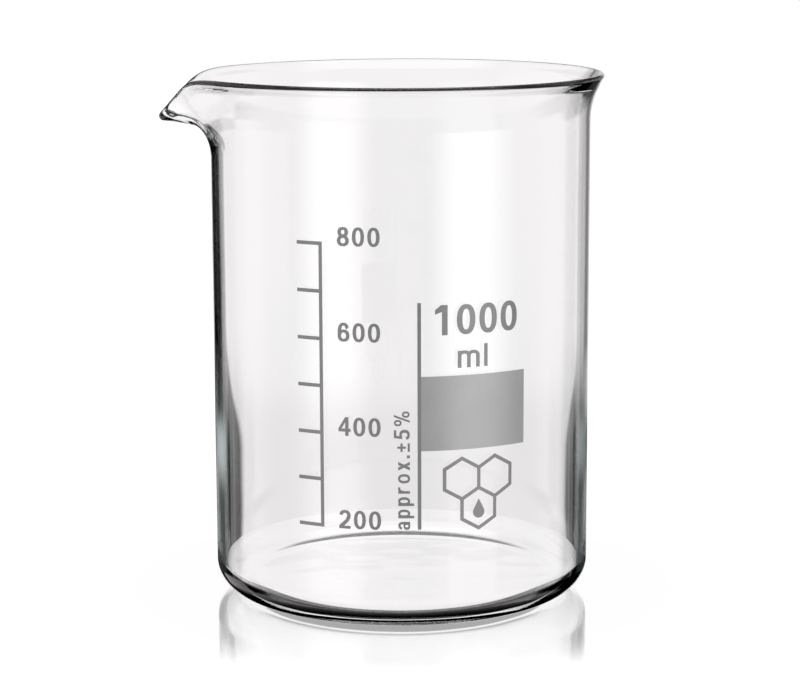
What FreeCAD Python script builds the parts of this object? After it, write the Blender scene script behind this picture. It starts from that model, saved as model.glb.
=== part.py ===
import FreeCAD, Part
import Sketcher
import math
import os

# One-litre low-form (Griffin) beaker in borosilicate glass, with fired enamel markings.
# Frame, in millimetres: the origin is the centre of the flat underside, +Z runs up the
# axis, the spout points to -X and the middle of the markings faces -Y.
# "Azimuth" is an angle about +Z from -Y towards +X. "Bearing" is an angle away from the
# spout's own direction, -X.

DIMENSIONS = [
    # the glass vessel
    ("body_radius", 52.5, "outer radius of the straight wall"),
    ("wall", 2.2, "wall thickness"),
    ("floor_thickness", 3.0, "thickness of the floor"),
    ("heel_radius", 8.5, "outer radius between underside and wall"),
    ("inner_heel_radius", 6.5, "inner radius between floor and wall"),
    ("full_height", 145.0, "height over the rim bead"),
    ("shoulder_height", 118.0, "where the plain wall ends and the rim ring begins"),
    # the rim, all round
    ("bead_radius", 0.85, "radius of the fire-polished rim bead"),
    ("rim_radius", 55.35, "radius of the bead's centre line"),
    ("flare_radius", 21.1, "bend radius of the flare, at mid wall"),
    # the spout
    ("spout_reach", 65.3, "distance of the tip bead's centre from the axis"),
    ("spout_drop", 10.87, "how far the tip lies below the rim"),
    ("spout_bend_radius", 5.1, "bend radius under the spout, at mid wall"),
    ("spout_lean", 79.5, "angle of the trough from the vertical"),
    ("reach_angle", 28.0, "bearing that sets how widely the rim is drawn forward"),
    ("drop_angle", 13.8, "bearing that sets how widely the rim is drawn down"),
    ("lean_angle", 6.5, "bearing that sets the width of the trough's flat floor"),
    ("groove_angle", 6.3, "bearing that sets the width of the pouring groove"),
    ("groove_share", 0.5, "part of the reach and drop that the groove takes"),
    ("tip_bead_radius", 1.35, "bead radius at the tip"),
    ("bead_blend", 3.5, "length over which the wall runs into the bead"),
    # the enamel
    ("enamel", 0.08, "thickness of the fired enamel"),
    ("line_width", 0.96, "width of every printed line"),
    ("lowest_tick", 28.77, "height of the 200 ml tick's centre"),
    ("tick_pitch", 12.575, "rise of the level for each 100 ml"),
    ("scale_left", -31.2, "azimuth of the ticks' free ends"),
    ("scale_right", -23.05, "azimuth of the scale line's right edge"),
    ("numeral_left", -18.4, "azimuth of the scale numerals' left edge"),
    ("numeral_size", 5.05, "height of the scale numerals"),
    ("numeral_step", 4.08, "width allowed for each scale numeral"),
    ("divider_left", 4.62, "azimuth of the divider line's left edge"),
    ("divider_bottom", 28.4, "lower end of the divider line"),
    ("divider_top", 89.05, "upper end of the divider line"),
    ("patch_left", 5.67, "azimuth of the patch's left edge"),
    ("patch_right", 38.25, "azimuth of the patch's right edge"),
    ("patch_bottom", 49.57, "lower edge of the patch"),
    ("patch_top", 69.5, "upper edge of the patch"),
    ("capacity_left", 9.7, "azimuth where the capacity numeral starts"),
    ("capacity_base", 80.35, "base line of the capacity numeral"),
    ("capacity_size", 8.0, "height of the capacity numeral"),
    ("capacity_step", 6.32, "width allowed for each capacity numeral"),
    ("unit_left", 16.4, "azimuth where the unit starts"),
    ("unit_base", 71.5, "base line of the unit"),
    ("unit_size", 6.1, "height of the unit's tall letter"),
    ("note_azimuth", 2.4, "azimuth of the upright note's base line"),
    ("note_bottom", 28.4, "height where the upright note starts"),
    ("note_size", 4.2, "height of the note's tall letters"),
    ("note_gap", 0.95, "space between the note's letters"),
    ("mark_azimuth", 22.9, "azimuth of the emblem's centre"),
    ("mark_height", 38.9, "height of the emblem's centre"),
    ("cell_radius", 5.5, "corner radius of the emblem's hexagons"),
    ("cell_line", 0.95, "line width of the emblem"),
]

doc = FreeCAD.newDocument("beaker")
sheet = doc.addObject("Spreadsheet::Sheet", "dims")
for row, (alias, value, meaning) in enumerate(DIMENSIONS, start=1):
    sheet.set("A%d" % row, alias.replace("_", " "))
    sheet.set("B%d" % row, str(value))
    sheet.set("C%d" % row, meaning)
    sheet.setAlias("B%d" % row, alias)
doc.recompute()

parts = []                      # the sub-parts, in the order they are written


def dim(alias):
    """Value of one driving dimension, in millimetres or degrees."""
    return float(sheet.get(alias))


def bind(thing, **expressions):
    """Tie properties of a document object to the sheet."""
    for name, expression in expressions.items():
        thing.setExpression(name, expression)
    return thing


def sub_part(thing, label):
    """Name a finished sub-part and put it on the list to be written."""
    thing.Label = label
    parts.append(thing)
    return thing


# ---------------------------------------------------------------- the plain vessel

def vessel_outline(sketch):
    """Half section of floor, heel and straight wall, with its sizes as named constraints."""
    base, top = dim("body_radius") - dim("heel_radius"), dim("shoulder_height")
    outer, inner = dim("body_radius"), dim("body_radius") - dim("wall")
    floor, heel, inner_heel = dim("floor_thickness"), dim("heel_radius"), dim("inner_heel_radius")
    up = FreeCAD.Vector(0, 0, 1)

    def point(x, y):
        return FreeCAD.Vector(x, y, 0)

    def corner(x, y, radius):
        circle = Part.Circle(point(x, y), up, radius)
        return Part.ArcOfCircle(circle, -math.pi / 2, 0)

    line = Part.LineSegment
    axis, under, outer_heel, outside, edge, inside, inner_corner, bottom = range(8)
    sketch.addGeometry(line(point(0, floor), point(0, 0)))
    sketch.addGeometry(line(point(0, 0), point(base, 0)))
    sketch.addGeometry(corner(base, heel, heel))
    sketch.addGeometry(line(point(outer, heel), point(outer, top)))
    sketch.addGeometry(line(point(outer, top), point(inner, top)))
    sketch.addGeometry(line(point(inner, top), point(inner, floor + inner_heel)))
    sketch.addGeometry(corner(inner - inner_heel, floor + inner_heel, inner_heel))
    sketch.addGeometry(line(point(inner - inner_heel, floor), point(0, floor)))

    add = sketch.addConstraint
    add(Sketcher.Constraint("Coincident", axis, 2, -1, 1))
    add(Sketcher.Constraint("Coincident", axis, 2, under, 1))
    add(Sketcher.Constraint("Coincident", bottom, 2, axis, 1))
    add(Sketcher.Constraint("Coincident", outside, 2, edge, 1))
    add(Sketcher.Constraint("Coincident", edge, 2, inside, 1))
    add(Sketcher.Constraint("Vertical", axis))
    add(Sketcher.Constraint("Horizontal", under))
    add(Sketcher.Constraint("Vertical", outside))
    add(Sketcher.Constraint("Horizontal", edge))
    add(Sketcher.Constraint("Vertical", inside))
    add(Sketcher.Constraint("Horizontal", bottom))
    add(Sketcher.Constraint("Tangent", under, 2, outer_heel, 1))
    add(Sketcher.Constraint("Tangent", outer_heel, 2, outside, 1))
    add(Sketcher.Constraint("Tangent", inside, 2, inner_corner, 2))
    add(Sketcher.Constraint("Tangent", inner_corner, 1, bottom, 1))

    sizes = [
        ("Radius", (outer_heel, heel), "heel_radius"),
        ("Radius", (inner_corner, inner_heel), "inner_heel_radius"),
        ("DistanceX", (-1, 1, outside, 1, outer), "body_radius"),
        ("DistanceX", (edge, 2, edge, 1, outer - inner), "wall"),
        ("DistanceY", (axis, 2, axis, 1, floor), "floor_thickness"),
        ("DistanceY", (-1, 1, outside, 2, top), "shoulder_height"),
    ]
    for kind, arguments, alias in sizes:
        index = add(Sketcher.Constraint(kind, *arguments))
        sketch.renameConstraint(index, alias)
        sketch.setExpression("Constraints." + alias, "dims." + alias)


def origin_plane(body, role):
    return next(item for item in body.Origin.OriginFeatures if item.Role == role)


vessel = doc.addObject("PartDesign::Body", "vessel")
outline = vessel.newObject("Sketcher::SketchObject", "vessel_outline")
outline.AttachmentSupport = [(origin_plane(vessel, "XZ_Plane"), "")]
outline.MapMode = "FlatFace"
vessel_outline(outline)
doc.recompute()
spun = vessel.newObject("PartDesign::Revolution", "vessel_spun")
spun.Profile = outline
spun.ReferenceAxis = (outline, ["V_Axis"])
spun.Angle = 360.0
vessel.Tip = spun


# ---------------------------------------------------------------- rim ring with its spout

PROFILE_STEPS = 20              # points along each face of a rim section
CAP_STEPS = 8                   # points round the bead
SPOUT_STEP = 2.5                # bearing between sections across the spout, in degrees
RIM_STEP = 7.5                  # bearing between sections round the rest of the rim
SEW_TOLERANCE = 1e-3


def ease(share):
    """Smooth step from 0 to 1 with level ends."""
    share = min(max(share, 0.0), 1.0)
    return share * share * (3.0 - 2.0 * share)


def blend(start, end, share):
    return start + (end - start) * share


def rim_section(bearing):
    """Radial section of the rim ring at a bearing, as a list of (radius, height).

    It runs up the outer face, over the bead and down the inner face.

    The middle of the wall runs straight up, round one bend and straight out to the bead.
    Towards the spout the bead moves out and down, the bend tightens and the lip leans over.
    """
    mid_radius = dim("body_radius") - dim("wall") / 2
    flare_lean = math.acos(1.0 - (dim("rim_radius") - mid_radius) / dim("flare_radius"))

    groove = dim("groove_share") * math.exp(-(bearing / dim("groove_angle")) ** 2)
    broad = 1.0 - dim("groove_share")
    reach = broad * math.exp(-(bearing / dim("reach_angle")) ** 2) + groove
    drop = broad * math.exp(-(bearing / dim("drop_angle")) ** 2) + groove
    tight = math.exp(-(bearing / dim("lean_angle")) ** 2)

    bead = blend(dim("bead_radius"), dim("tip_bead_radius"), drop)
    bead_at = blend(dim("rim_radius"), dim("spout_reach"), reach)
    bead_height = dim("full_height") - dim("bead_radius") - dim("spout_drop") * drop
    lean = blend(flare_lean, math.radians(dim("spout_lean")), tight)
    bend = blend(dim("flare_radius"), dim("spout_bend_radius"), tight)
    straight = (bead_at - mid_radius - bend * (1.0 - math.cos(lean))) / math.sin(lean)
    straight = max(straight, 0.0)
    bend_start = bead_height - bend * math.sin(lean) - straight * math.cos(lean)
    upright = bend_start - dim("shoulder_height")
    length = upright + bend * lean + straight

    outer, inner = [], []
    for step in range(PROFILE_STEPS + 1):
        run = length * step / PROFILE_STEPS
        angle = min(max((run - upright) / bend, 0.0), lean)
        rest = max(run - upright - bend * lean, 0.0)
        radius = mid_radius + bend * (1.0 - math.cos(angle)) + rest * math.sin(lean)
        height = dim("shoulder_height") + min(run, upright) + bend * math.sin(angle)
        height += rest * math.cos(lean)
        nearness = ease(1.0 - (length - run) / dim("bead_blend"))
        half_wall = blend(dim("wall") / 2, bead, nearness)
        across, along = half_wall * math.cos(angle), half_wall * math.sin(angle)
        outer.append((radius + across, height - along))
        inner.append((radius - across, height + along))
    cap = []
    for step in range(1, CAP_STEPS):
        angle = lean - math.pi * step / CAP_STEPS
        cap.append((bead_at + bead * math.cos(angle), bead_height - bead * math.sin(angle)))
    return outer + cap + inner[::-1]


def rim_row(bearing):
    """The section at a signed bearing, as points in space."""
    turn = math.radians(bearing)
    return [
        FreeCAD.Vector(-radius * math.cos(turn), radius * math.sin(turn), height)
        for radius, height in rim_section(abs(bearing))
    ]


def rim_bearings():
    """Bearings from the back, through the spout and round to the back again."""
    spout_end = 30.0
    plain = [-180.0 + RIM_STEP * step for step in range(int((180.0 - spout_end) / RIM_STEP))]
    spout = [SPOUT_STEP * step for step in range(int(-spout_end / SPOUT_STEP), 1)]
    side = plain + spout
    return side + [-bearing for bearing in side[-2::-1]]


def rim_skin():
    """Closed surface through all the sections, level in height wherever they are."""
    bearings = rim_bearings()
    rows = [rim_row(bearing) for bearing in bearings[:-1]]
    along = [0.0]
    for near, far in zip(rows[0], rows[0][1:]):
        along.append(along[-1] + near.distanceToPoint(far))
    rounds = []
    for column in zip(*rows):
        curve = Part.BSplineCurve()
        curve.interpolate(Points=list(column), PeriodicFlag=True, Parameters=bearings)
        rounds.append(curve)
    poles = []
    for index in range(rounds[0].NbPoles):
        section = Part.BSplineCurve()
        section.interpolate(Points=[curve.getPoles()[index] for curve in rounds], Parameters=along)
        poles.append(section.getPoles())
    skin = Part.BSplineSurface()
    skin.buildFromPolesMultsKnots(
        poles, rounds[0].getMultiplicities(), section.getMultiplicities(),
        rounds[0].getKnots(), section.getKnots(), True, False,
        rounds[0].Degree, section.Degree)
    return skin.toShape()


def rim_ring():
    """Solid ring above the shoulder: flared rim, bead and spout."""
    skin = rim_skin()
    feet = [edge for edge in skin.Edges
            if abs(edge.CenterOfMass.z - dim("shoulder_height")) < SEW_TOLERANCE]
    inner, outer = sorted(feet, key=lambda edge: edge.Length)
    sole = Part.Face([Part.Wire(outer), Part.Wire(inner)])
    faces = Part.Compound([skin, sole])
    faces.sewShape(SEW_TOLERANCE)
    solid = Part.Solid(faces.Shells[0])
    if solid.Volume < 0:
        solid.reverse()
    return solid


ring = doc.addObject("Part::Feature", "rim_ring")
ring.Shape = rim_ring()
glass = doc.addObject("Part::Fuse", "glass")
glass.Base, glass.Tool = vessel, ring
sub_part(glass, "glass_body")


# ---------------------------------------------------------------- fired enamel
# Every island of enamel is a piece of one thin sleeve round the straight wall.

WALL_MARGIN = 4.0               # the sleeve's clearance above and below the markings


def sleeve(name):
    """Thin tube of enamel thickness on the glass, over the whole height of the markings."""
    outside = doc.addObject("Part::Cylinder", name + "_outside")
    bind(outside, Radius="dims.body_radius + dims.enamel",
         Height="dims.shoulder_height - 2 * dims.heel_radius")
    outside.Placement = FreeCAD.Placement(
        FreeCAD.Vector(0, 0, dim("heel_radius") + WALL_MARGIN), FreeCAD.Rotation())
    inside = glass_core(name)
    tube = doc.addObject("Part::Cut", name)
    tube.Base, tube.Tool = outside, inside
    return tube


def glass_core(name):
    """Solid cylinder of the glass's own radius, which enamel is cut back to."""
    core = doc.addObject("Part::Cylinder", name + "_glass")
    return bind(core, Radius="dims.body_radius", Height="dims.full_height")


def sector(name, left, right, bottom, top):
    """Pie-shaped block out to the enamel's face, between two azimuths and two heights."""
    block = doc.addObject("Part::Cylinder", name)
    bind(block, Radius="dims.body_radius + dims.enamel",
         Angle="(%s) - (%s)" % (right, left), Height="(%s) - (%s)" % (top, bottom))
    block.setExpression("Placement.Base.z", bottom)
    block.Placement.Rotation = FreeCAD.Rotation(FreeCAD.Vector(0, 0, 1), -90)
    block.setExpression("Placement.Rotation.Angle", "(%s) - 90 deg" % left)
    return block


def sector_skin(label, blocks):
    """Enamel of one or more sectors, hollowed to lie on the glass."""
    if len(blocks) == 1:
        base = blocks[0]
    else:
        base = doc.addObject("Part::MultiFuse", label + "_blocks")
        base.Shapes = blocks
        base.Refine = True
    skin = doc.addObject("Part::Cut", label)
    skin.Base, skin.Tool = base, glass_core(label)
    return sub_part(skin, label)


def graduation_scale():
    """The upright line and its seven ticks, 200 to 800 ml."""
    ticks = 7
    line_angle = "dims.line_width / dims.body_radius * 180 deg / pi"
    foot = "dims.lowest_tick - dims.line_width / 2"
    head = "dims.lowest_tick + %d * dims.tick_pitch + dims.line_width / 2" % (ticks - 1)
    blocks = [sector("scale_line", "dims.scale_right * 1 deg - " + line_angle,
                     "dims.scale_right * 1 deg", foot, head)]
    for step in range(ticks):
        middle = "dims.lowest_tick + %d * dims.tick_pitch" % step
        blocks.append(sector("tick_%d" % (200 + 100 * step), "dims.scale_left * 1 deg",
                             "dims.scale_right * 1 deg", middle + " - dims.line_width / 2",
                             middle + " + dims.line_width / 2"))
    sector_skin("graduation_scale", blocks)


graduation_scale()
sector_skin("divider_line", [sector(
    "divider", "dims.divider_left * 1 deg",
    "dims.divider_left * 1 deg + dims.line_width / dims.body_radius * 180 deg / pi",
    "dims.divider_bottom", "dims.divider_top")])
sector_skin("marking_patch", [sector(
    "patch", "dims.patch_left * 1 deg", "dims.patch_right * 1 deg",
    "dims.patch_bottom", "dims.patch_top")])


# ---------------------------------------------------------------- lettering
# Letters are blocks in units of the cap height, built from ovals, arcs and bars. x runs
# along the line of text, y up from the base line, and z through the wall.

STEM = 0.19                     # width of a figure's upright strokes
BAR = 0.155                     # width of a figure's level strokes
THIN_STEM = 0.165               # the same for small letters
THIN_BAR = 0.14
X_HEIGHT = 0.74                 # height of small letters
OVAL_POINTS = 24
REACH = 3.0                     # longer than any letter
HALF_DEPTH = 1.5                # of every block, on each side of the wall's face


def block_of(wire):
    """Block with a closed outline, through the wall."""
    face = Part.Face(wire)
    face.translate(FreeCAD.Vector(0, 0, -HALF_DEPTH))
    return face.extrude(FreeCAD.Vector(0, 0, 2 * HALF_DEPTH))


def prism(points):
    corners = [FreeCAD.Vector(x, y, 0) for x, y in points]
    return block_of(Part.makePolygon(corners + corners[:1]))


def box(left, bottom, right, top):
    return prism([(left, bottom), (right, bottom), (right, top), (left, top)])


def oval(x, y, wide, high, fullness=2.3):
    """Solid oval, a little squarer than an ellipse, with half sizes wide and high."""
    points = []
    for step in range(OVAL_POINTS):
        angle = 2 * math.pi * step / OVAL_POINTS
        cosine, sine = math.cos(angle), math.sin(angle)
        points.append(FreeCAD.Vector(
            x + wide * math.copysign(abs(cosine) ** (2 / fullness), cosine),
            y + high * math.copysign(abs(sine) ** (2 / fullness), sine), 0))
    curve = Part.BSplineCurve()
    curve.interpolate(points, PeriodicFlag=True)
    return block_of(Part.Wire(curve.toShape()))


def hoop(x, y, wide, high, stem=STEM, bar=BAR):
    """Oval ring with upright strokes of one width and level strokes of another."""
    return oval(x, y, wide, high).cut(oval(x, y, wide - stem, high - bar))


def wedge(x, y, start, end):
    """Large fan from a point, between two directions in degrees."""
    turns = [start + (end - start) * step / 4 for step in range(5)]
    fan = [(x + REACH * math.cos(math.radians(turn)), y + REACH * math.sin(math.radians(turn)))
           for turn in turns]
    return prism([(x, y)] + fan)


def bow(x, y, wide, high, start, end, stem=STEM, bar=BAR):
    """The stretch of a hoop between two directions in degrees."""
    return hoop(x, y, wide, high, stem, bar).common(wedge(x, y, start, end))


def joined(first, *rest):
    return first.fuse(list(rest)).removeSplitter()


def letter_zero():
    return hoop(0.32, 0.5, 0.32, 0.5)


def letter_one():
    flag = prism([(0.0, 0.84), (0.0, 0.69), (0.24, 0.78), (0.24, 1.0), (0.2, 1.0)])
    return joined(box(0.23, 0, 0.42, 1), flag)


def letter_two():
    crown = bow(0.32, 0.7, 0.31, 0.3, -30, 172)
    slope = prism([(0, 0), (0.27, 0.15), (0.52, 0.4), (0.6, 0.58), (0.42, 0.66), (0.36, 0.5),
                   (0.03, 0.2)])
    return joined(crown, slope, box(0, 0, 0.63, BAR))


def letter_four():
    sail = prism([(0.0, 0.22), (0.0, 0.39), (0.37, 1.0), (0.55, 1.0), (0.55, 0.22)])
    window = prism([(0.17, 0.385), (0.37, 0.385), (0.37, 0.72)])
    return joined(sail.cut(window), box(0.37, 0, 0.55, 1), box(0, 0.22, 0.66, 0.385))


def letter_five():
    bowl = bow(0.3, 0.33, 0.33, 0.33, -158, 132)
    back = prism([(0.03, 0.46), (0.2, 0.5), (0.27, 1.0), (0.1, 1.0)])
    return joined(bowl, back, box(0.1, 1 - BAR, 0.6, 1))


def letter_six():
    arch = bow(0.32, 0.5, 0.32, 0.5, 44, 200)
    return joined(arch, hoop(0.32, 0.32, 0.32, 0.32))


def letter_eight():
    return joined(hoop(0.32, 0.735, 0.285, 0.265, STEM, 0.15),
                  hoop(0.32, 0.29, 0.32, 0.29, STEM, 0.15))


def letter_a():
    roof = bow(0.27, 0.47, 0.25, 0.27, 0, 168, THIN_STEM, THIN_BAR)
    bowl = hoop(0.245, 0.205, 0.245, 0.215, THIN_STEM, 0.12)
    return joined(roof, bowl, box(0.52 - THIN_STEM, 0, 0.52, 0.5))


def letter_p():
    bowl = hoop(0.3, X_HEIGHT / 2, 0.27, X_HEIGHT / 2 + 0.01, THIN_STEM, THIN_BAR)
    return joined(box(0, -0.26, THIN_STEM, X_HEIGHT), bowl)


def letter_r():
    arm = bow(0.33, 0.42, 0.3, 0.33, 72, 180, THIN_STEM, THIN_BAR)
    return joined(box(0, 0, THIN_STEM, X_HEIGHT), arm)


def letter_o():
    return hoop(0.3, X_HEIGHT / 2, 0.3, X_HEIGHT / 2 + 0.01, THIN_STEM, THIN_BAR)


def letter_x():
    wide, slant = 0.56, 0.2
    rising = prism([(0, 0), (slant, 0), (wide, X_HEIGHT), (wide - slant, X_HEIGHT)])
    falling = prism([(wide - slant, 0), (wide, 0), (slant, X_HEIGHT), (0, X_HEIGHT)])
    return joined(rising, falling)


def letter_point():
    return box(0, 0, STEM, STEM)


def letter_m():
    step = 0.42                 # from leg to leg
    arch = (step + THIN_STEM) / 2
    legs = [box(left, 0, left + THIN_STEM, 0.5) for left in (0, step, 2 * step)]
    arches = [bow(left + arch, 0.5, arch, X_HEIGHT - 0.49, 0, 180, THIN_STEM, THIN_BAR)
              for left in (0, step)]
    return joined(box(0, 0, THIN_STEM, X_HEIGHT), *legs, *arches)


def letter_l():
    return box(0, 0, THIN_STEM, 1)


def letter_plus_minus():
    middle, reach, half = 0.52, 0.27, 0.07
    cross = joined(box(0, middle - half, 2 * reach, middle + half),
                   box(reach - half, middle - reach, reach + half, middle + reach))
    return Part.Compound([cross, box(0, 0, 2 * reach, 2 * half)])


def letter_percent():
    slash = prism([(0.22, 0), (0.35, 0), (0.72, 1), (0.59, 1)])
    eyes = [hoop(x, y, 0.2, 0.24, 0.12, 0.11) for x, y in ((0.2, 0.75), (0.74, 0.25))]
    return Part.Compound([slash] + eyes)


LETTERS = {
    "0": letter_zero, "1": letter_one, "2": letter_two, "4": letter_four, "5": letter_five,
    "6": letter_six, "8": letter_eight, "a": letter_a, "p": letter_p, "r": letter_r,
    "o": letter_o, "x": letter_x, ".": letter_point, "m": letter_m, "l": letter_l,
    "\u00b1": letter_plus_minus, "%": letter_percent,
}


def on_wall(azimuth, height, roll=0.0):
    """Placement that carries the XY plane onto the wall: x round it, y up, z outward."""
    turn = math.radians(azimuth)
    radius = dim("body_radius")
    spot = FreeCAD.Vector(radius * math.sin(turn), -radius * math.cos(turn), height)
    about_axis = FreeCAD.Rotation(FreeCAD.Vector(0, 0, 1), azimuth)
    upright = FreeCAD.Rotation(FreeCAD.Vector(1, 0, 0), 90)
    rolled = FreeCAD.Rotation(FreeCAD.Vector(0, 0, 1), roll)
    return FreeCAD.Placement(spot, about_axis * upright * rolled)


def placed(block, placement):
    block.Placement = placement.multiply(block.Placement)
    return block


def print_on_wall(label, blocks):
    """Enamel where a set of blocks meets the sleeve."""
    stamps = doc.addObject("Part::Feature", label + "_stamps")
    stamps.Shape = Part.Compound(blocks)
    skin = doc.addObject("Part::Common", label)
    skin.Base, skin.Tool = sleeve(label + "_sleeve"), stamps
    return sub_part(skin, label)


def sized(letter, size):
    """One letter at its real size, centred on x = 0, and the x its middle had."""
    block = LETTERS[letter]()
    block.scale(size, FreeCAD.Vector(0, 0, 0))
    middle = block.BoundBox.Center.x
    block.translate(FreeCAD.Vector(-middle, 0, 0))
    return block, middle


def level_text(label, text, size, left, base, steps):
    """Text round the wall, from an azimuth, with the base line at a height."""
    blocks, run = [], 0.0
    for letter, step in zip(text, steps):
        block, middle = sized(letter, size)
        azimuth = left + math.degrees((run + middle) / dim("body_radius"))
        blocks.append(placed(block, on_wall(azimuth, base)))
        run += step
    print_on_wall(label, blocks)


def upright_text(label, text, size, azimuth, bottom, gap):
    """Text that reads upward, with its base line at an azimuth."""
    blocks, run = [], bottom
    for letter in text:
        block = sized(letter, size)[0]
        wide = block.BoundBox.XLength
        blocks.append(placed(block, on_wall(azimuth, run + wide / 2, roll=90.0)))
        run += wide + gap
    print_on_wall(label, blocks)


for hundreds in (8, 6, 4, 2):
    tick_height = dim("lowest_tick") + (hundreds - 2) * dim("tick_pitch")
    level_text("numeral_%d00" % hundreds, "%d00" % hundreds, dim("numeral_size"),
               dim("numeral_left"), tick_height - dim("line_width") / 2,
               [dim("numeral_step")] * 3)

level_text("capacity_numeral", "1000", dim("capacity_size"), dim("capacity_left"),
           dim("capacity_base"), [0.93 * dim("capacity_step")] + [dim("capacity_step")] * 3)
level_text("unit_mark", "ml", dim("unit_size"), dim("unit_left"), dim("unit_base"),
           [1.22 * dim("unit_size"), 0])
upright_text("tolerance_note", "approx.\u00b15%", dim("note_size"), dim("note_azimuth"),
             dim("note_bottom"), dim("note_gap"))


# ---------------------------------------------------------------- emblem

def hexagon(x, y, radius):
    corners = [(x + radius * math.sin(math.radians(60 * side)),
                y + radius * math.cos(math.radians(60 * side))) for side in range(6)]
    return prism(corners)


def droplet(x, y, radius):
    """Round drop with a pointed top: a disc and the two tangents to its tip."""
    tip = 2.2 * radius
    lean = math.acos(radius / tip)
    side, rise = radius * math.sin(lean), radius * math.cos(lean)
    disc = block_of(Part.Wire(Part.Circle(
        FreeCAD.Vector(x, y, 0), FreeCAD.Vector(0, 0, 1), radius).toShape()))
    cone = prism([(x - side, y + rise), (x + side, y + rise), (x, y + tip)])
    return joined(disc, cone)


def generic_mark():
    """Three hexagon cells that share their sides, the lowest one holding a drop."""
    radius = dim("cell_radius")
    border = dim("cell_line") / math.sqrt(3)
    step = radius * math.sqrt(3) / 2
    centres = [(-step, radius / 2), (step, radius / 2), (0, -radius)]
    cells = joined(*[hexagon(x, y, radius + border) for x, y in centres])
    for x, y in centres:
        cells = cells.cut(hexagon(x, y, radius - border))
    drop = droplet(0, -1.2 * radius, 0.3 * radius)
    placement = on_wall(dim("mark_azimuth"), dim("mark_height"))
    print_on_wall("generic_mark", [placed(cells, placement), placed(drop, placement)])


generic_mark()


# ---------------------------------------------------------------- checks and files

doc.recompute()
for thing in doc.Objects:
    if {"Invalid", "Error"} & set(thing.State):
        raise RuntimeError("%s failed: %s" % (thing.Name, thing.State))
for part in parts:
    if part.Shape.isNull() or not part.Shape.isValid():
        raise RuntimeError(part.Label + " has no valid shape")

os.makedirs("parts", exist_ok=True)
for part in parts:
    part.Shape.exportStep("parts/%s.step" % part.Label)
    print("%-18s %d solids %10.2f mm3" % (part.Label, len(part.Shape.Solids), part.Shape.Volume))
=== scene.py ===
import math

import bpy
from mathutils import Matrix


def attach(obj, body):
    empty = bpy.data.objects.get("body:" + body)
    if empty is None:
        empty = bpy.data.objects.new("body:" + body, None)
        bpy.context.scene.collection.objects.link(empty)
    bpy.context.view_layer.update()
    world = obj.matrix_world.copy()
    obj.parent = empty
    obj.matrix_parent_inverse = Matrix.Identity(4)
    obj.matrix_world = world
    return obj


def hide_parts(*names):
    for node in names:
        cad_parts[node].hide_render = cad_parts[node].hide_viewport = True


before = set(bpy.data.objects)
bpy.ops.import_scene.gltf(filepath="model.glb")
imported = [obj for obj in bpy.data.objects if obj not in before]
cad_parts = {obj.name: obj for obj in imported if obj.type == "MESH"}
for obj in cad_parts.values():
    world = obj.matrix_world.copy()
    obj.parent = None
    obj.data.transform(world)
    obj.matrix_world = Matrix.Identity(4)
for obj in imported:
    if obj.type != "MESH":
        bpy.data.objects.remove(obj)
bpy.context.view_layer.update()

# ---------------------------------------------------------------- glass sizes, in millimetres

MM = 0.001                  # one millimetre in metres

BODY_RADIUS = 52.5
WALL = 2.2
FLOOR = 3.0                 # thickness of the floor
HEEL = 8.5                  # radius between underside and wall
INNER_HEEL = 6.5            # radius between floor and wall, inside
HEIGHT = 145.0
SHOULDER = 118.0            # where the plain wall ends and the flared ring begins

BEAD = 0.85                 # radius of the rim bead
RIM_RADIUS = 55.35          # radius of the bead's centre line
FLARE_BEND = 21.1           # bend radius of the flare, at mid wall
BEAD_BLEND = 3.5            # length over which the wall runs into the bead

TIP_BEAD = 1.35             # radius of the bead at the spout's tip
SPOUT_REACH = 65.3          # distance of the tip bead's centre from the axis
SPOUT_DROP = 10.87          # how far the tip lies below the rim
SPOUT_BEND = 5.1            # bend radius under the spout, at mid wall
SPOUT_LEAN = math.radians(79.5)     # angle of the trough from the vertical
REACH_ANGLE = math.radians(28.0)    # bearing that sets how widely the rim is drawn forward
DROP_ANGLE = math.radians(13.8)     # and how widely it is drawn down
LEAN_ANGLE = math.radians(6.5)      # width of the trough's flat floor
GROOVE_ANGLE = math.radians(6.3)    # width of the pouring groove
GROOVE_SHARE = 0.5          # part of the reach and drop that the groove takes

SPOUT_EDGE = math.radians(36.0)     # bearing up to which the mesh's columns are close together
SPOUT_COLUMNS = 160         # columns of the mesh over the spout
PLAIN_COLUMNS = 320         # and over the rest of the glass
FLOOR_RINGS = 14
HEEL_RINGS = 18
WALL_RINGS = 24
RIM_RINGS = 64
CAP_RINGS = 16

# ---------------------------------------------------------------- glass shape


def ease(share):
    """A share held between 0 and 1, with a smooth start and end."""
    share = min(max(share, 0.0), 1.0)
    return share * share * (3.0 - 2.0 * share)


def blend(start, end, share):
    return start + (end - start) * share


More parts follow.
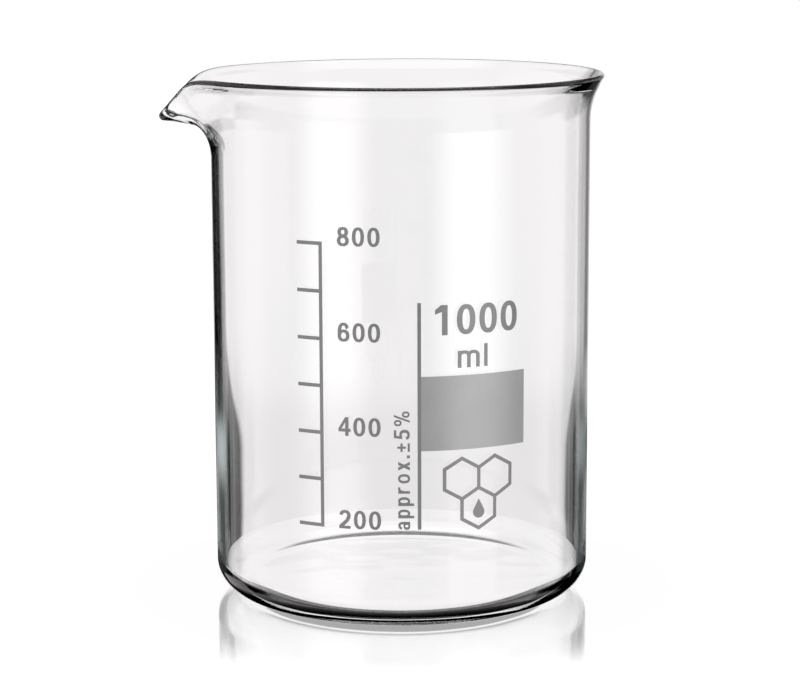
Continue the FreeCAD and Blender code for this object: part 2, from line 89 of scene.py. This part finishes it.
def rim_section(bearing):
    """Upper part of the glass at a bearing from the spout: (radius, height) up, over and down."""
    mid_radius = BODY_RADIUS - WALL / 2
    flare_lean = math.acos(1.0 - (RIM_RADIUS - mid_radius) / FLARE_BEND)
    groove = GROOVE_SHARE * math.exp(-(bearing / GROOVE_ANGLE) ** 2)
    broad = 1.0 - GROOVE_SHARE
    reach = broad * math.exp(-(bearing / REACH_ANGLE) ** 2) + groove
    drop = broad * math.exp(-(bearing / DROP_ANGLE) ** 2) + groove
    tight = math.exp(-(bearing / LEAN_ANGLE) ** 2)

    bead = blend(BEAD, TIP_BEAD, drop)
    bead_at = blend(RIM_RADIUS, SPOUT_REACH, reach)
    bead_height = HEIGHT - BEAD - SPOUT_DROP * drop
    lean = blend(flare_lean, SPOUT_LEAN, tight)
    bend = blend(FLARE_BEND, SPOUT_BEND, tight)
    straight = (bead_at - mid_radius - bend * (1.0 - math.cos(lean))) / math.sin(lean)
    straight = max(straight, 0.0)
    upright = bead_height - bend * math.sin(lean) - straight * math.cos(lean) - SHOULDER
    length = upright + bend * lean + straight

    outer, inner = [], []
    for step in range(RIM_RINGS + 1):
        run = length * step / RIM_RINGS
        angle = min(max((run - upright) / bend, 0.0), lean)
        rest = max(run - upright - bend * lean, 0.0)
        radius = mid_radius + bend * (1.0 - math.cos(angle)) + rest * math.sin(lean)
        height = SHOULDER + min(run, upright) + bend * math.sin(angle) + rest * math.cos(lean)
        half_wall = blend(WALL / 2, bead, ease(1.0 - (length - run) / BEAD_BLEND))
        across, along = half_wall * math.cos(angle), half_wall * math.sin(angle)
        outer.append((radius + across, height - along))
        inner.append((radius - across, height + along))
    cap = []
    for step in range(1, CAP_RINGS):
        angle = lean - math.pi * step / CAP_RINGS
        cap.append((bead_at + bead * math.cos(angle), bead_height - bead * math.sin(angle)))
    return outer + cap + inner[::-1]


def lower_sections():
    """Plain parts of the section below the shoulder: outside from the axis up, inside down."""
    base = BODY_RADIUS - HEEL
    inner_radius = BODY_RADIUS - WALL
    floor_radius = inner_radius - INNER_HEEL
    outside = [(base * step / FLOOR_RINGS, 0.0) for step in range(1, FLOOR_RINGS)]
    inside = [(floor_radius * step / FLOOR_RINGS, FLOOR) for step in range(1, FLOOR_RINGS)]
    for step in range(HEEL_RINGS + 1):
        angle = math.pi / 2 * step / HEEL_RINGS
        across, up = math.sin(angle), 1.0 - math.cos(angle)
        outside.append((base + HEEL * across, HEEL * up))
        inside.append((floor_radius + INNER_HEEL * across, FLOOR + INNER_HEEL * up))
    for step in range(1, WALL_RINGS):
        share = step / WALL_RINGS
        outside.append((BODY_RADIUS, blend(HEEL, SHOULDER, share)))
        inside.append((inner_radius, blend(FLOOR + INNER_HEEL, SHOULDER, share)))
    return outside, inside[::-1]


def column_turns():
    """Turns of the mesh's columns round the axis from the spout, closer together over the spout."""
    rest = 2 * math.pi - 2 * SPOUT_EDGE
    over_spout = [-SPOUT_EDGE + 2 * SPOUT_EDGE * step / SPOUT_COLUMNS
                  for step in range(SPOUT_COLUMNS)]
    return over_spout + [SPOUT_EDGE + rest * step / PLAIN_COLUMNS for step in range(PLAIN_COLUMNS)]


def glass_mesh():
    """The whole vessel as one closed skin of rings, with a point at each pole."""
    outside, inside = lower_sections()
    vertices, faces = [(0.0, 0.0, 0.0)], []
    turns = column_turns()
    for turn in turns:
        bearing = abs(turn) if turn <= math.pi else 2 * math.pi - turn
        forward, sideways = -math.cos(turn) * MM, math.sin(turn) * MM
        for radius, height in outside + rim_section(bearing) + inside:
            vertices.append((radius * forward, radius * sideways, height * MM))
    rings = (len(vertices) - 1) // len(turns)
    vertices.append((0.0, 0.0, FLOOR * MM))
    top = len(vertices) - 1
    for column in range(len(turns)):
        here = 1 + column * rings
        there = 1 + (column + 1) % len(turns) * rings
        faces.append((0, here, there))
        for ring in range(rings - 1):
            faces.append((here + ring, here + ring + 1, there + ring + 1, there + ring))
        faces.append((here + rings - 1, top, there + rings - 1))
    mesh = bpy.data.meshes.new("glass_vessel")
    mesh.from_pydata(vertices, [], faces)
    mesh.validate()
    mesh.polygons.foreach_set("use_smooth", [True] * len(mesh.polygons))
    mesh.update()
    return mesh


# ---------------------------------------------------------------- node helpers

WHITE = (1.0, 1.0, 1.0)


def calculate(tree, operation, *values):
    """A math node fed with sockets or numbers; gives its output socket."""
    node = tree.nodes.new("ShaderNodeMath")
    node.operation = operation
    for socket, value in zip(node.inputs, values):
        if isinstance(value, bpy.types.NodeSocket):
            tree.links.new(value, socket)
        else:
            socket.default_value = value
    return node.outputs[0]


def slope(tree, value, low, high):
    """0 up to low, 1 from high on, and a smooth rise between; low above high falls instead."""
    node = tree.nodes.new("ShaderNodeMapRange")
    node.interpolation_type = "SMOOTHSTEP"
    tree.links.new(value, node.inputs["Value"])
    for name, bound in (("From Min", low), ("From Max", high)):
        if isinstance(bound, bpy.types.NodeSocket):
            tree.links.new(bound, node.inputs[name])
        else:
            node.inputs[name].default_value = bound
    return node.outputs["Result"]


def mixed(tree, share, first, second):
    """A colour between two colours, each a socket or a tuple."""
    node = tree.nodes.new("ShaderNodeMix")
    node.data_type = "RGBA"
    tree.links.new(share, node.inputs["Factor"])
    for name, value in (("A_Color", first), ("B_Color", second)):
        socket = next(s for s in node.inputs if s.identifier == name)
        if isinstance(value, bpy.types.NodeSocket):
            tree.links.new(value, socket)
        else:
            socket.default_value = (*value, 1.0)
    return next(s for s in node.outputs if s.identifier == "Result_Color")


def grain(tree, scale, detail=2.0):
    """Noise in object space with a scale per axis, in waves per metre."""
    mapping = tree.nodes.new("ShaderNodeMapping")
    mapping.inputs["Scale"].default_value = scale
    tree.links.new(tree.nodes.new("ShaderNodeTexCoord").outputs["Object"], mapping.inputs["Vector"])
    node = tree.nodes.new("ShaderNodeTexNoise")
    node.inputs["Scale"].default_value = 1.0
    node.inputs["Detail"].default_value = detail
    tree.links.new(mapping.outputs[0], node.inputs["Vector"])
    return node.outputs["Fac"]


def relief(tree, height, depth, shader):
    """Bump of a depth in metres on a shader."""
    node = tree.nodes.new("ShaderNodeBump")
    node.inputs["Distance"].default_value = depth
    tree.links.new(height, node.inputs["Height"])
    tree.links.new(node.outputs[0], shader.inputs["Normal"])


def from_axis(tree):
    """Distance from the vessel's axis and height above the ground, in metres."""
    place = tree.nodes.new("ShaderNodeSeparateXYZ")
    tree.links.new(tree.nodes.new("ShaderNodeTexCoord").outputs["Object"], place.inputs[0])
    squares = [calculate(tree, "MULTIPLY", place.outputs[axis], place.outputs[axis]) for axis in "XY"]
    return calculate(tree, "SQRT", calculate(tree, "ADD", *squares)), place.outputs["Z"]


def principled(name):
    """A new material, with its node tree and its Principled shader."""
    material = bpy.data.materials.new(name)
    material.use_nodes = True
    tree = material.node_tree
    return material, tree, tree.nodes["Principled BSDF"]


# ---------------------------------------------------------------- glass and enamel
# A pair of numbers for slope() is where a change begins and where it is complete.
# The dark edge of the glass is painted shade. It stands in for dark things close to the vessel, which
# the studio has not got.

GLASS_INDEX = 1.473
GLASS_TINT = (0.985, 0.993, 0.99)
TINT_CLOUDS = (30.0, 30.0, 9.0)     # waves per metre along X, Y and Z
TINT_SPREAD = (0.35, 0.65)
GLASS_WAVES = (45.0, 45.0, 14.0)
GLASS_WAVE_DETAIL = 1.0
GLASS_WAVE_DEPTH = 0.00012
# Painted shade on the glass: the next four settings darken the edge of the outer face, standing in
# for dark surroundings.
PAINTED_EDGE_SHADE = (0.002, 0.002, 0.002)   # of the outer face at a grazing angle
PAINTED_SHADE_GRAZING = (0.74, 0.81)         # 0 is seen square on, 1 edge on
PAINTED_SHADE_OUTSIDE = (0.0508, 0.0514)     # metres from the axis, so that the inner face stays clear
PAINTED_SHADE_ABOVE = (0.048, 0.072)         # metres above the ground

PRINT_DARK = (0.155, 0.158, 0.16)
PRINT_PALE = (0.205, 0.208, 0.21)
PRINT_INDEX = 1.9
FIELD_DARK = (0.235, 0.239, 0.243)
FIELD_PALE = (0.285, 0.289, 0.293)
FIELD_INDEX = 2.6
SPECKS = (2600.0, 2600.0, 2600.0)
SPECK_DETAIL = 3.0
SPECK_DEPTH = 0.00001
SPECK_ROUGHNESS = 0.1
SPECK_SHARE = 0.55                  # of the specks in the tone; clouds have the rest
CLOUDS = (120.0, 120.0, 90.0)
TONE_SPREAD = (0.3, 0.7)
ENAMEL_ROUGHNESS = 0.26


def glass_material():
    """Clear borosilicate: faint cool tint, painted shade on the upper outer face at grazing angles,
    shallow upright waves.
    """
    material, tree, shader = principled("borosilicate_glass")
    shader.inputs["Roughness"].default_value = 0.0
    shader.inputs["IOR"].default_value = GLASS_INDEX
    shader.inputs["Transmission Weight"].default_value = 1.0
    tint = mixed(tree, slope(tree, grain(tree, TINT_CLOUDS), *TINT_SPREAD), WHITE, GLASS_TINT)
    # Painted shade: the outer face's colour turns near black at grazing angles, above 48 mm and
    # outside the inner face.
    facing = tree.nodes.new("ShaderNodeLayerWeight").outputs["Facing"]
    across, height = from_axis(tree)
    outside = calculate(tree, "MULTIPLY", slope(tree, across, *PAINTED_SHADE_OUTSIDE),
                        slope(tree, height, *PAINTED_SHADE_ABOVE))
    edge = calculate(tree, "MULTIPLY", slope(tree, facing, *PAINTED_SHADE_GRAZING), outside)
    tree.links.new(mixed(tree, edge, tint, PAINTED_EDGE_SHADE), shader.inputs["Base Color"])
    relief(tree, grain(tree, GLASS_WAVES, GLASS_WAVE_DETAIL), GLASS_WAVE_DEPTH, shader)
    return material


def enamel_material(name, dark, pale, index):
    """Fired grey print: satin, with the fine grain of the ink and a slightly uneven tone."""
    material, tree, shader = principled(name)
    shader.inputs["IOR"].default_value = index
    speck = grain(tree, SPECKS, SPECK_DETAIL)
    tone = calculate(tree, "ADD", calculate(tree, "MULTIPLY", speck, SPECK_SHARE),
                     calculate(tree, "MULTIPLY", grain(tree, CLOUDS), 1.0 - SPECK_SHARE))
    tree.links.new(mixed(tree, slope(tree, tone, *TONE_SPREAD), dark, pale),
                   shader.inputs["Base Color"])
    rough = calculate(tree, "ADD", ENAMEL_ROUGHNESS,
                      calculate(tree, "MULTIPLY", speck, SPECK_ROUGHNESS))
    tree.links.new(rough, shader.inputs["Roughness"])
    relief(tree, speck, SPECK_DEPTH, shader)
    return material


vessel = bpy.data.objects.new("glass_vessel", glass_mesh())
bpy.context.scene.collection.objects.link(vessel)
vessel.data.materials.append(glass_material())
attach(vessel, "root")
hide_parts("glass_body")

enamel = enamel_material("grey_enamel", PRINT_DARK, PRINT_PALE, PRINT_INDEX)
field = enamel_material("grey_enamel_field", FIELD_DARK, FIELD_PALE, FIELD_INDEX)
for name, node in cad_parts.items():
    if name != "glass_body":
        node.data.materials.clear()
        node.data.materials.append(field if name == "marking_patch" else enamel)

# ---------------------------------------------------------------- studio
# Turns are degrees round from straight behind the vessel, positive to the right, and the same
# to both sides where away stands for the turn. Rises are degrees above the horizon.

HALF_TURN = 180.0
SOFTBOX = (2.5, 2.5, 2.5)
SOFTBOX_RISE = (52.0, 62.0)
FRONT_FILL = (0.5, 0.485, 0.49)
FRONT_AWAY = (70.0, 95.0)

# Low down, and at the heights that the ground mirrors, the sides have bands and the back
# panel is narrower.
LOW_RISE = (-9.6, -12.4)
MIRRORED_FOOT = (8.0, 11.0)
MIRRORED_TOP = (27.0, 23.0)
MIRRORED_PINCH = 0.5

PANEL_WHITE = (0.95, 0.925, 0.935)
PANEL_DIM = (0.86, 0.835, 0.845)
DIM_TOP = (-10.6, -12.0)
DIM_FOOT = (-15.0, -14.6)
BACK_MIDDLE = 0.8
BACK_HALF = 16.0
BACK_PINCH = 7.0
BACK_PINCH_FOOT = (-20.0, -13.5)
BACK_EDGE = 1.6
BACK_FOOT = (-46.0, -42.0)
BACK_TOP = (50.0, 40.0)

SIDE_BLACK = (0.004, 0.004, 0.004)
SIDE_GREY = (0.09, 0.085, 0.085)
SIDE_DIM = (0.07, 0.08, 0.08)
TEAL_LEFT = (0.42, 0.47, 0.47)
TEAL_RIGHT = (0.24, 0.27, 0.27)
RIGHT_GREY = (0.48, 0.47, 0.475)
RIGHT_TURN = (0.0, 4.0)
GREY_TO_BLACK = (12.8, 13.8)
BLACK_TO_TEAL = (17.0, 18.5)
TEAL_TO_BLACK = (38.0, 42.0)
TEAL_TOP = (-11.4, -12.1)
TEAL_FOOT = (-12.4, -13.4)
SIDE_FOOT = (-19.5, -17.5)

WING = (0.85, 0.825, 0.835)
WING_EDGE = (0.45, 0.45, 0.45)
WING_GREY = (0.11, 0.11, 0.11)
WING_AWAY = (36.0, 46.0)
WING_EDGE_AWAY = (48.0, 49.5)
WING_GREY_AWAY = (50.5, 53.0)
WING_FIELD_AWAY = (61.0, 64.0)

UNDER = (0.9, 0.875, 0.885)
UNDER_RISE = (-30.0, -36.0)
UNDER_AWAY = (34.0, 42.0)
STEEP_RISE = (-60.0, -66.0)

# Other panels: middle turn, half width, soft edge, rises at the foot and the top, colour.
OTHER_PANELS = (
    (-45.0, 15.0, 3.0, (-38.0, -34.0), (-17.5, -20.0), PANEL_WHITE),
    (-45.0, 20.0, 6.0, (15.0, 18.0), (38.0, 32.0), PANEL_WHITE),
    (-90.0, 16.0, 6.0, (-12.0, -8.0), (40.0, 30.0), PANEL_WHITE),
    (135.0, 8.0, 22.0, (-14.0, -10.5), (35.0, 25.0), (2.2, 2.16, 2.18)),
    (135.0, 14.0, 4.0, (-46.0, -42.0), (-10.5, -14.0), PANEL_WHITE),
    (-135.0, 8.0, 22.0, (-30.0, -22.0), (35.0, 25.0), (1.1, 1.08, 1.09)),
)


def panel(tree, turn, rise, middle, half, edge, foot, top):
    """Share of a soft-edged panel; half may be a socket; foot and top are (dark, lit) rises."""
    offset = calculate(tree, "PINGPONG", calculate(tree, "SUBTRACT", turn, middle), HALF_TURN)
    across = slope(tree, offset, calculate(tree, "ADD", half, edge), half)
    upright = calculate(tree, "MULTIPLY", slope(tree, rise, *foot), slope(tree, rise, *top))
    return calculate(tree, "MULTIPLY", across, upright)


def side_light(tree, turn, away, rise, banded):
    """Black on the left and grey on the right; the bands are grey, black, teal and black."""
    right = slope(tree, turn, *RIGHT_TURN)
    teal = mixed(tree, right, TEAL_LEFT, TEAL_RIGHT)
    teal = mixed(tree, slope(tree, rise, *TEAL_TOP), SIDE_DIM, teal)
    teal = mixed(tree, slope(tree, rise, *TEAL_FOOT), teal, SIDE_DIM)
    bands = mixed(tree, slope(tree, away, *GREY_TO_BLACK), SIDE_GREY, SIDE_BLACK)
    bands = mixed(tree, slope(tree, away, *BLACK_TO_TEAL), bands, teal)
    bands = mixed(tree, slope(tree, away, *TEAL_TO_BLACK), bands, SIDE_BLACK)
    return mixed(tree, banded, mixed(tree, right, SIDE_BLACK, RIGHT_GREY), bands)


def wing_light(tree, away, banded):
    """Bright wings farther round; the bands are black, a pale edge, grey and bright."""
    bands = mixed(tree, slope(tree, away, *WING_EDGE_AWAY), SIDE_BLACK, WING_EDGE)
    bands = mixed(tree, slope(tree, away, *WING_GREY_AWAY), bands, WING_GREY)
    bands = mixed(tree, slope(tree, away, *WING_FIELD_AWAY), bands, WING)
    return mixed(tree, banded, WING, bands)


def add_back_panel(tree, turn, rise, narrow, light):
    """The white panel behind the vessel, a little dimmer in one low strip."""
    pinch = calculate(tree, "MULTIPLY", narrow, slope(tree, rise, *BACK_PINCH_FOOT))
    half = calculate(tree, "SUBTRACT", BACK_HALF, calculate(tree, "MULTIPLY", pinch, BACK_PINCH))
    dim = calculate(tree, "MULTIPLY", slope(tree, rise, *DIM_TOP), slope(tree, rise, *DIM_FOOT))
    share = panel(tree, turn, rise, BACK_MIDDLE, half, BACK_EDGE, BACK_FOOT, BACK_TOP)
    return mixed(tree, share, light, mixed(tree, dim, PANEL_WHITE, PANEL_DIM))


def studio_world():
    """A white panel behind the vessel, dark sides, and soft light in front of it and above.

    Rays straight from the camera see plain white instead.
    """
    world = bpy.data.worlds.new("studio")
    world.use_nodes = True
    tree = world.node_tree
    parts = tree.nodes.new("ShaderNodeSeparateXYZ")
    tree.links.new(tree.nodes.new("ShaderNodeTexCoord").outputs["Generated"], parts.inputs[0])
    turn = calculate(tree, "DEGREES",
                     calculate(tree, "ARCTAN2", parts.outputs["X"], parts.outputs["Y"]))
    rise = calculate(tree, "DEGREES", calculate(tree, "ARCSINE", parts.outputs["Z"]))
    away = calculate(tree, "ABSOLUTE", turn)

    low = slope(tree, rise, *LOW_RISE)
    mirrored = calculate(tree, "MULTIPLY", slope(tree, rise, *MIRRORED_FOOT),
                         slope(tree, rise, *MIRRORED_TOP))
    banded = calculate(tree, "MAXIMUM", low, mirrored)
    narrow = calculate(tree, "MAXIMUM", low,
                       calculate(tree, "MULTIPLY", mirrored, MIRRORED_PINCH))

    light = mixed(tree, slope(tree, away, *WING_AWAY),
                  side_light(tree, turn, away, rise, banded), wing_light(tree, away, banded))
    light = mixed(tree, slope(tree, rise, *SIDE_FOOT), SIDE_BLACK, light)
    light = mixed(tree, slope(tree, away, *FRONT_AWAY), light, FRONT_FILL)
    light = add_back_panel(tree, turn, rise, narrow, light)
    for middle, half, edge, foot, top, colour in OTHER_PANELS:
        light = mixed(tree, panel(tree, turn, rise, middle, half, edge, foot, top), light, colour)

    under = calculate(tree, "MULTIPLY", slope(tree, rise, *UNDER_RISE),
                      slope(tree, away, *UNDER_AWAY))
    under = calculate(tree, "MAXIMUM", under, slope(tree, rise, *STEEP_RISE))
    light = mixed(tree, under, light, UNDER)
    light = mixed(tree, slope(tree, rise, *SOFTBOX_RISE), light, SOFTBOX)

    seen = tree.nodes.new("ShaderNodeLightPath").outputs["Is Camera Ray"]
    tree.links.new(mixed(tree, seen, light, WHITE), tree.nodes["Background"].inputs["Color"])
    return world


# ---------------------------------------------------------------- ground
# Distances are metres from the vessel's axis.

GROUND_SIZE = 4.0
GROUND_GAP = 0.00005                # between the underside and the ground
GROUND_GLOW = 1.1
MIRROR_SHARE = 0.64
MIRROR_ROUGHNESS = 0.07
MIRROR_FADES = (0.098, 0.072)
SHADE_INNER = (0.0425, 0.044)       # the shade that steep light meets under the heel
SHADE_OUTER = (0.056, 0.052)
SHADE_STEEP = (0.6, 0.52)           # 0 is met square on, 1 edge on


def two_shaders(tree, share, first, second):
    """A shader between two shaders."""
    node = tree.nodes.new("ShaderNodeMixShader")
    for socket, value in zip(node.inputs, (share, first.outputs[0], second.outputs[0])):
        tree.links.new(value, socket)
    return node


def ground_material():
    """White ground that mirrors the foot of the vessel faintly, fading out a little way off.

    Only the camera sees it so. Light passes through it, but for the shade under the heel.
    """
    material = bpy.data.materials.new("studio_floor")
    material.use_nodes = True
    tree = material.node_tree
    tree.nodes.clear()
    distance = from_axis(tree)[0]

    white = tree.nodes.new("ShaderNodeEmission")
    white.inputs["Strength"].default_value = GROUND_GLOW
    gloss = tree.nodes.new("ShaderNodeBsdfGlossy")
    gloss.inputs["Color"].default_value = (*WHITE, 1.0)
    gloss.inputs["Roughness"].default_value = MIRROR_ROUGHNESS
    mirror = calculate(tree, "MULTIPLY", slope(tree, distance, *MIRROR_FADES), MIRROR_SHARE)
    surface = two_shaders(tree, mirror, white, gloss)

    ring = calculate(tree, "MULTIPLY", slope(tree, distance, *SHADE_INNER),
                     slope(tree, distance, *SHADE_OUTER))
    facing = tree.nodes.new("ShaderNodeLayerWeight").outputs["Facing"]
    shade = calculate(tree, "MULTIPLY", ring, slope(tree, facing, *SHADE_STEEP))
    clear = tree.nodes.new("ShaderNodeBsdfTransparent")
    tree.links.new(mixed(tree, shade, WHITE, SIDE_BLACK), clear.inputs["Color"])

    seen = tree.nodes.new("ShaderNodeLightPath").outputs["Is Camera Ray"]
    out = tree.nodes.new("ShaderNodeOutputMaterial")
    tree.links.new(two_shaders(tree, seen, clear, surface).outputs[0], out.inputs["Surface"])
    return material


bpy.ops.mesh.primitive_plane_add(size=GROUND_SIZE, location=(0.0, 0.0, -GROUND_GAP))
floor = bpy.context.object
floor.name = "floor"
floor.data.materials.append(ground_material())
bpy.context.scene.world = studio_world()

# Light takes many steps inside the glass, so it may bounce often.
MOST_BOUNCES = 24
GLOSSY_BOUNCES = 16
bpy.context.scene.cycles.max_bounces = MOST_BOUNCES
bpy.context.scene.cycles.transmission_bounces = MOST_BOUNCES
bpy.context.scene.cycles.glossy_bounces = GLOSSY_BOUNCES
bpy.context.scene.view_settings.view_transform = "Standard"

# ---------------------------------------------------------------- camera
# It stands higher than the rim, in metres, and looks a little down through a long lens.

CAMERA_DISTANCE = 0.7204
CAMERA_HEIGHT = 0.1975
CAMERA_PITCH = math.radians(11.14)
CAMERA_ROLL = math.radians(-0.21)
CAMERA_LENS = 117.117               # millimetres, as is the sensor's width
CAMERA_SENSOR = 36.0
CAMERA_SHIFT = (-0.001625, 0.0505)  # shares of the picture's width

data = bpy.data.cameras.new("camera")
data.sensor_width = CAMERA_SENSOR
data.lens = CAMERA_LENS
data.shift_x, data.shift_y = CAMERA_SHIFT
camera = bpy.data.objects.new("camera", data)
bpy.context.scene.collection.objects.link(camera)
camera.location = (0.0, -CAMERA_DISTANCE, CAMERA_HEIGHT)
camera.rotation_euler = (Matrix.Rotation(math.pi / 2 - CAMERA_PITCH, 4, "X")
                         @ Matrix.Rotation(CAMERA_ROLL, 4, "Z")).to_euler()
bpy.context.scene.camera = camera
